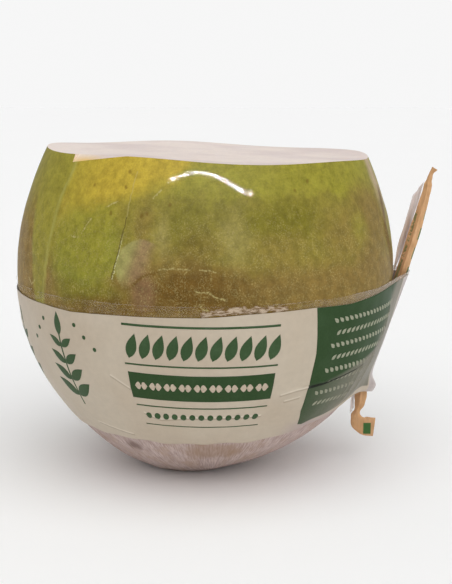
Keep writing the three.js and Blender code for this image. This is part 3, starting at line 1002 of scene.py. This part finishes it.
def bar(start, end, foot, top, bow=0.0):
    """A band from start to end angle, whose middle dips by bow."""
    steps = np.linspace(0, 1, 9)
    dip = bow * 4 * steps * (1 - steps)
    angles = start + (end - start) * steps
    lower = [(a, foot - d) for a, d in zip(angles, dip)]
    upper = [(a, top - d) for a, d in zip(angles[::-1], dip[::-1])]
    return lower + upper


def sprig(angle, z, height, pairs, leaf_length, leaf_width):
    """A plain upright sprig: a stem, pairs of leaves and one at the tip."""
    shapes = [bar(angle - 0.28, angle + 0.28, z, z + height)]
    for step in range(pairs):
        at = z + height * (step + 0.6) / (pairs + 0.4)
        size = 1 - 0.12 * step
        for lean in (-58, 58):
            shapes.append(leaf(angle, at, leaf_length * size, leaf_width * size, lean))
    shapes.append(leaf(angle, z + height - 1, leaf_length * 0.8, leaf_width * 0.8, 0))
    return shapes


PANEL_LEFT = [(-58.8, follow(PRINT_TOP, -58.8)), (-58.5, 66.5), (-57.8, 57), (-58, 51.2),
              (-58, 45.2), (-57.6, 42), (-56.6, 34), (-54.0, 27.6)]
PANEL_RIGHT = -6.5
PANEL_CLEARANCE = 2.4


def panel_outline():
    angles = np.linspace(PANEL_LEFT[-1][0], PANEL_RIGHT, 26)
    foot = band_edges(angles)[0] + PANEL_CLEARANCE
    back = angles[:0:-1]
    return PANEL_LEFT + list(zip(angles, foot))[1:] + list(zip(back, follow(PRINT_TOP, back)))


def make_print():
    """Plain motifs in a layout of their own, in colours and sizes like those of the band's print."""
    green = ink_material("deep_green_ink", paint(45, 68, 37), paint(58, 80, 51))
    mid = ink_material("leaf_green_ink", paint(54, 77, 47), paint(72, 94, 66))
    pale = ink_material("pale_ink", paint(150, 152, 130), paint(128, 134, 112))
    cream = ink_material("knocked_out_cream", paint(183, 168, 149), paint(187, 174, 156))

    add_ink("print_panel", [panel_outline()], green)
    grains = [leaf(angle, 67.1 - row * 4.5, 2.7, 1.35, 50 if row % 2 else -50, 6)
              for row in range(8) for angle in -51 - 0.25 * row + 2.0 * np.arange(19 - row)
              if angle < PANEL_RIGHT - 4]
    add_ink("print_panel_grains", grains, pale, layer=2)

    add_ink("print_centre_bar", [bar(-112.5, -70, 41.5, 51.5, 0.4)], green)
    diamonds = [leaf(-109 + step * 4.45, 46.4, 2.45, 3.0, lean, 6)
                for step in range(9) for lean in (-90, 90)]
    add_ink("print_centre_diamonds", diamonds, cream, layer=2)
    frieze = [bar(-113, -69.6, 68.2, 69.0, 0.2), bar(-113, -69.6, 54.2, 54.8, 0.2)]
    frieze += [leaf(-111.5 + step * 3.95, 56.6, 9.4, 4.0, 18) for step in range(11)]
    add_ink("print_centre_frieze", frieze, mid)
    beads = [bar(-110.5, -71.5, 30.3, 30.7, 0.3), bar(-112, -70.4, 38.3, 38.8, 0.3)]
    beads += [disc(-108.4 + step * 2.9, 34.4, 1.25) for step in range(13)]
    add_ink("print_centre_beads", beads, mid)

    dots = [disc(-136 + side * (7 + 3.2 * step), 66 - 4 * step, 0.8, 10)
            for step in range(3) for side in (-1, 1)]
    add_ink("print_left_sprig", sprig(-136, 34, 28, 4, 11, 4.4) + dots, mid)
    back = [shape for angle in (150, 112) for shape in sprig(angle, 32, 30, 4, 12, 4.6)]
    back += [bar(98, 164, foot, top) for foot, top in ((67.5, 68.5), (27.4, 28.0))]
    add_ink("print_back_sprigs", back, mid)
    add_ink("print_back_panel", [bar(16, 74, 40, 71)], green)
    rear = [leaf(21 + step * 2.3, 65.5 - row * 4.2, 2.3, 1.1, 55 if row % 2 else -55, 5)
            for row in range(6) for step in range(22)]
    add_ink("print_back_grains", rear, pale, layer=2)
    add_ink("print_far_left_sprig", sprig(-164, 36, 24, 3, 9, 4), mid)


# ---- Straw packet ----
# The sleeve's middle line from its tail to its twisted tip: x, z, half-width across, half-depth.
SLEEVE_STATIONS = [
    (66.4, 12.5, 3.85, 0.5), (63, 12.9, 3.9, 0.5), (60.3, 14.2, 3.2, 0.6), (59, 17.2, 2, 0.8),
    (59.5, 19.4, 1.2, 1), (60.4, 22.4, 2.1, 1.6), (float(packet_x(25.5)), 25.5, 2.55, 2),
    *[(float(packet_x(z)), z, SLEEVE_RADIUS, SLEEVE_RADIUS) for z in (30, 37, 45, 54, 64, 74, 84, 92)],
    (float(packet_x(100)), 100, 1.95, 2), (float(packet_x(106.5)), 106.5, 1.6, 1.8),
    (84.9, 108.9, 1.5, 1.4), (85.5, 111.2, 0.95, 0.9), (86.1, 113.6, 0.7, 0.7), (87.3, 115.6, 0.9, 1),
]
SLEEVE_STEPS = 14                      # rows between two stations
SLEEVE_COLUMNS = 72
PAPER_DENTS = 0.06
PLEATS_FROM = 105.0                    # the paper is twisted shut above this height
PLEAT_COUNT = 5
PLEAT_DEPTH = 0.16
STRIP_ROWS = 120
STRIP_COLUMNS = 16
# The folded paper's outline round the straw, for a radius of 1: across, and in depth (-1 is the front).
SLEEVE_OUTLINE = [(-0.18, -1.09), (1.0, -0.24), (0.75, 0.8), (-0.72, 0.8), (-1.0, -0.04)]
STRAW_SHARE = 0.82                     # the outline nowhere comes closer to the middle than this


def sleeve_line(shares):
    """The middle line and its direction, as centripetal Catmull-Rom through the stations."""
    knots = np.array([station[:2] for station in SLEEVE_STATIONS])
    knots = np.concatenate([[2 * knots[0] - knots[1]], knots, [2 * knots[-1] - knots[-2]]])
    points, directions = [], []
    for at in shares * (len(SLEEVE_STATIONS) - 1):
        low = min(int(at), len(SLEEVE_STATIONS) - 2)
        before, start, end, after = knots[low:low + 4]
        gap0, gap1, gap2 = (np.linalg.norm(b - a) ** 0.5 for a, b in
                            ((before, start), (start, end), (end, after)))
        leave = (start - before) / gap0 - (end - before) / (gap0 + gap1) + (end - start) / gap1
        arrive = (end - start) / gap1 - (after - start) / (gap1 + gap2) + (after - end) / gap2
        leave, arrive = leave * gap1, arrive * gap1
        t = at - low
        points.append((2 * t ** 3 - 3 * t ** 2 + 1) * start + (t ** 3 - 2 * t ** 2 + t) * leave
                      + (3 * t ** 2 - 2 * t ** 3) * end + (t ** 3 - t ** 2) * arrive)
        directions.append((6 * t ** 2 - 6 * t) * (start - end) + (3 * t ** 2 - 4 * t + 1) * leave
                          + (3 * t ** 2 - 2 * t) * arrive)
    directions = np.array(directions)
    return np.array(points), directions / np.linalg.norm(directions, axis=1)[:, None]


def sleeve_outline(around):
    """How far the folded outline lies from the middle in each direction."""
    reach = np.full(len(around), np.inf)
    for (x0, y0), (x1, y1) in zip(SLEEVE_OUTLINE, SLEEVE_OUTLINE[1:] + SLEEVE_OUTLINE[:1]):
        normal_x, normal_y = y1 - y0, x0 - x1
        facing = normal_x * np.cos(around) + normal_y * np.sin(around)
        distance = normal_x * x0 + normal_y * y0
        reach = np.minimum(reach, np.where(facing > 1e-9, distance / np.maximum(facing, 1e-9), np.inf))
    return np.maximum(reach, STRAW_SHARE)


def make_sleeve():
    last = len(SLEEVE_STATIONS) - 1
    shares = np.linspace(0, 1, last * SLEEVE_STEPS + 1)
    middle, direction = sleeve_line(shares)
    at = shares * last
    low = np.minimum(at.astype(int), last - 1)
    blend = smoothstep(0, 1, at - low)[:, None]
    sizes = np.array([station[2:] for station in SLEEVE_STATIONS])
    across, deep = (sizes[low] * (1 - blend) + sizes[low + 1] * blend).T[..., None]
    turned = np.linspace(0, 2 * math.pi, SLEEVE_COLUMNS, endpoint=False)
    height = middle[:, 1][:, None]
    folded = smoothstep(15, 19, height) * (1 - smoothstep(106, 110, height))
    outline = 1 + (sleeve_outline(turned) - 1) * folded
    # Soft dents in the paper, pleats where it is twisted shut, and a flared, uneven tip.
    dents = PAPER_DENTS * waves(np.degrees(turned), height, 71, (2, 5), (0.02, 0.09), 10)
    pleats = PLEAT_DEPTH * np.cos(PLEAT_COUNT * turned + (height - PLEATS_FROM) * 0.7)
    pleats = pleats * smoothstep(PLEATS_FROM, PLEATS_FROM + 5, height)
    flare = smoothstep(114, 116, height) * (0.2 + 0.25 * np.cos(3 * turned + 1))
    grow = outline * (1 + (dents + pleats) / np.maximum(1.2, across) + flare)
    side = np.stack([direction[:, 1], np.zeros(len(shares)), -direction[:, 0]], axis=-1)
    centre = np.stack([middle[:, 0], np.full(len(shares), PACKET_Y), middle[:, 1]], axis=-1)
    rows = centre[:, None, :] + side[:, None, :] * (across * np.cos(turned) * grow)[..., None]
    rows[..., 1] += deep * np.sin(turned) * grow
    points, faces = capped(rows, centre[0], centre[-1])
    faces = [face[::-1] for face in faces]
    piece = add_piece("paper_sleeve", points, faces, [kraft_material()])
    sharpen(piece, 24)
    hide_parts("straw_sleeve")


def kraft_material():
    """Brown paper with small green marks down its inner face and its outer edge."""
    shader = Shader("kraft_paper", roughness=0.75, specular_ior_level=0.2)
    x, y, z = shader.x, shader.y, shader.z
    fibre = shader.place.noise(1.1, detail=3, roughness=0.6, stretch=(1, 1, 4))
    cloud = shader.place.noise(6, detail=2)
    colour = cloud.fade(0.35, 0.65).mix(paint(194, 150, 106), paint(203, 160, 118))
    colour = colour * fibre.fade(0.3, 0.7, 0.9, 1.08)
    offset = x - leaning_x(z)
    uneven = shader.join(offset, 0.0, z).noise(1.1, detail=2, roughness=0.6)
    dash = uneven.fade(0.46, 0.5).math("MAXIMUM", z.fade(79, 78))
    inner = offset.fade(-1.05, -1.25) * offset.fade(-2.0, -1.85) * dash * 0.8
    slow = ((z - 79.5) / 7.6).math("FRACT")
    outer = offset.fade(1.75, 1.9) * (slow.fade(0.1, 0.14) * slow.fade(0.7, 0.74, 1.0, 0.0))
    upper = z.fade(30, 31) * z.fade(100, 99)
    mark = inner.math("MAXIMUM", outer) * upper * y.fade(PACKET_Y + 0.6, PACKET_Y + 0.2)
    square = (x.fade(61.9, 62.1) * x.fade(64.9, 65.1, 1.0, 0.0) * z.fade(9.6, 9.8)
              * z.fade(14.2, 14.4, 1.0, 0.0) * y.fade(PACKET_Y, PACKET_Y - 0.2))
    shader.set(base_color=(mark * 0.85).math("MAXIMUM", square).mix(colour, paint(60, 100, 50)))
    crease = shader.place.noise(4, detail=3, roughness=0.6)
    shader.relief(crease + fibre * 0.15, 0.4, 0.6)
    return shader.material


def make_strip():
    """The loose strip of white film behind the sleeve, slightly rippled."""
    along = np.linspace(0, 1, STRIP_ROWS)[:, None]
    y = np.linspace(-STRIP_WIDTH / 2, STRIP_WIDTH / 2, STRIP_COLUMNS)[None, :]
    z = STRIP_FOOT + along * (STRIP_HEAD - STRIP_FOOT + STRIP_HEAD_SLANT * y)
    twist = np.radians(sum(angle * smoothstep(0, 1, (z - start) / (end - start))
                           for angle, start, end in (STRIP_HEAD_TWIST, STRIP_FOOT_TWIST)))
    clearance = SLEEVE_RADIUS + FILM_GAP + STRIP_THICKNESS / 2
    middle = packet_x(z) - clearance / (np.cos(twist) * PACKET_RISE)
    ripple = 0.13 * np.sin(y * 1.3 + 0.2 * z) + 0.05 * np.sin(0.55 * z + 1)
    sides = []
    for offset in (-FILM_THICKNESS / 2, FILM_THICKNESS / 2):
        away = ripple + offset
        x = middle + y * np.sin(twist) + away * np.cos(twist)
        sideways = PACKET_Y + y * np.cos(twist) - away * np.sin(twist)
        sides.append(np.stack(np.broadcast_arrays(x, sideways, z), axis=-1))
    near, far = sides
    rows = np.concatenate([near, far[:, ::-1]], axis=1)
    columns = 2 * STRIP_COLUMNS
    faces = [face[::-1] for face in grid_faces(STRIP_ROWS, columns)]
    last = (STRIP_ROWS - 1) * columns
    for i in range(STRIP_COLUMNS - 1):
        faces.append([i, i + 1, columns - 2 - i, columns - 1 - i])
        faces.append([last + i + 1, last + i, last + columns - 1 - i, last + columns - 2 - i])
    piece = add_piece("white_film_strip", rows, faces, [white_film_material()])
    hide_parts("film_strip")


def white_film_material():
    """White at both ends of the strip, and duller behind the sleeve, where the darker colour is painted
    shade.
    """
    shader = Shader("white_film", roughness=0.3, specular_ior_level=0.5)
    cloud = shader.place.noise(5, detail=3, stretch=(1, 1, 3))
    pale = cloud.mix(paint(216, 204, 198), paint(232, 224, 222))
    dull = cloud.mix(paint(188, 164, 148), paint(208, 188, 172))
    ends = shader.z.fade(92, 104).math("MAXIMUM", shader.z.fade(34, 28))
    shader.set(base_color=ends.mix(dull, pale), alpha=cloud.fade(0.35, 0.7, 0.78, 0.95))
    shader.relief(cloud, 0.5, 0.5)
    return shader.material


def dress_straw():
    """The straw is hidden in its sleeve, and keeps its CAD shape."""
    shader = Shader("straw_paper", roughness=0.6, specular_ior_level=0.35)
    fibre = shader.place.noise(1.2, detail=3, stretch=(1, 1, 4))
    shader.set(base_color=fibre.mix(paint(214, 208, 196), paint(232, 228, 220)))
    shader.relief(fibre, 0.1, 0.4)
    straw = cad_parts["straw"]
    straw.data.materials.clear()
    straw.data.materials.append(shader.material)


# ---- Studio ----
CAMERA_PLACE = (7.2, -450.0, 148.9)
CAMERA_PITCH = -10.26
CAMERA_LENS = 72.19
FLOOR_SIZE = 12000.0
FLOOR_TONE = 0.97
SENSOR_WIDTH = 36.0
KEY_PLACE = (120, -560, 1000)
KEY_TARGET = (0, 0, 70)
KEY_STRENGTH = 1.6
KEY_SPREAD = 80.0                      # how wide the soft key light looks, in degrees
SHOULDER_HEIGHT = 110.0                # the thin strip light is aimed at this height
STRIP_LIGHT_DISTANCE = 1000.0
STRIP_LIGHT_ELEVATION = 40.0
STRIP_LIGHT_FROM = -30.0               # azimuths from straight in front of the fruit
STRIP_LIGHT_TO = 30.5
STRIP_LIGHT_WIDTH = 6.0
STRIP_LIGHT_POWER = 20.0
SURROUND_LIGHT = (0.46, 0.62)          # how bright the surround is from the left and from the right
SURROUND_SEEN = 0.927                  # and as the camera sees it


def make_camera():
    data = bpy.data.cameras.new("camera")
    data.lens = CAMERA_LENS
    data.sensor_width = SENSOR_WIDTH
    camera = add_object("camera", data)
    camera.location = [value * MM for value in CAMERA_PLACE]
    camera.rotation_euler = (math.radians(90 + CAMERA_PITCH), 0, 0)
    bpy.context.scene.camera = camera


def make_floor():
    half = FLOOR_SIZE / 2 * MM
    mesh = bpy.data.meshes.new("floor")
    mesh.from_pydata([(-half, -half, 0), (half, -half, 0), (half, half, 0), (-half, half, 0)],
                     [], [(0, 1, 2, 3)])
    floor = add_object("floor", mesh)
    shader = Shader("pale_floor", roughness=0.9, specular_ior_level=0.1)
    pale, dull = ((tone, tone, tone, 1) for tone in (FLOOR_TONE, FLOOR_TONE * 0.99))
    shader.set(base_color=shader.place.noise(400, detail=1).mix(pale, dull))
    mesh.materials.append(shader.material)


def add_light(name, kind, place, target, **settings):
    """A light at a place in mm, turned towards a target."""
    data = bpy.data.lights.new(name, kind)
    for setting, value in settings.items():
        setattr(data, setting, value)
    light = add_object(name, data)
    light.location = [value * MM for value in place]
    x, y, z = (b - a for a, b in zip(place, target))
    light.rotation_euler = (math.atan2(math.hypot(x, y), -z), 0, math.atan2(y, x) - math.pi / 2)
    return light


def make_lights():
    """A very soft key from the front and above, and a thin strip that shows only in reflections."""
    key = add_light("soft_key", "SUN", KEY_PLACE, KEY_TARGET, energy=KEY_STRENGTH,
                    angle=math.radians(KEY_SPREAD))
    key.visible_glossy = False
    reach = STRIP_LIGHT_DISTANCE * math.cos(math.radians(STRIP_LIGHT_ELEVATION))
    rise = STRIP_LIGHT_DISTANCE * math.sin(math.radians(STRIP_LIGHT_ELEVATION))
    left = -reach * math.tan(math.radians(-STRIP_LIGHT_FROM))
    right = reach * math.tan(math.radians(STRIP_LIGHT_TO))
    middle = (left + right) / 2
    place = (middle, -reach, rise + SHOULDER_HEIGHT)
    strip = add_light("strip", "AREA", place, (middle, 0, SHOULDER_HEIGHT), shape="RECTANGLE",
                      size=(right - left) * MM, size_y=STRIP_LIGHT_WIDTH * MM, energy=STRIP_LIGHT_POWER)
    strip.visible_diffuse = False


def make_world():
    """An even pale surround: white to the camera, and dimmer on the left for light and reflections."""
    world = bpy.data.worlds.new("surround")
    world.use_nodes = True
    tree = world.node_tree
    towards = Field(new_node(tree, "TexCoord").outputs["Generated"])
    across = Field(new_node(tree, "SeparateXYZ", towards).outputs[0])
    light = across.node("MapRange", across, -1.0, 1.0, *SURROUND_LIGHT)
    seen = Field(new_node(tree, "LightPath").outputs["Is Camera Ray"])
    background = tree.nodes["Background"]
    connect(seen.node("Mix", seen, None, light, SURROUND_SEEN), background.inputs["Strength"])
    connect((1, 1, 1, 1), background.inputs["Color"])
    bpy.context.scene.world = world


make_camera()
make_floor()
make_lights()
make_world()
make_coconut()
make_film()
make_print()
make_sleeve()
make_strip()
dress_straw()

bpy.context.scene.view_settings.view_transform = "Standard"
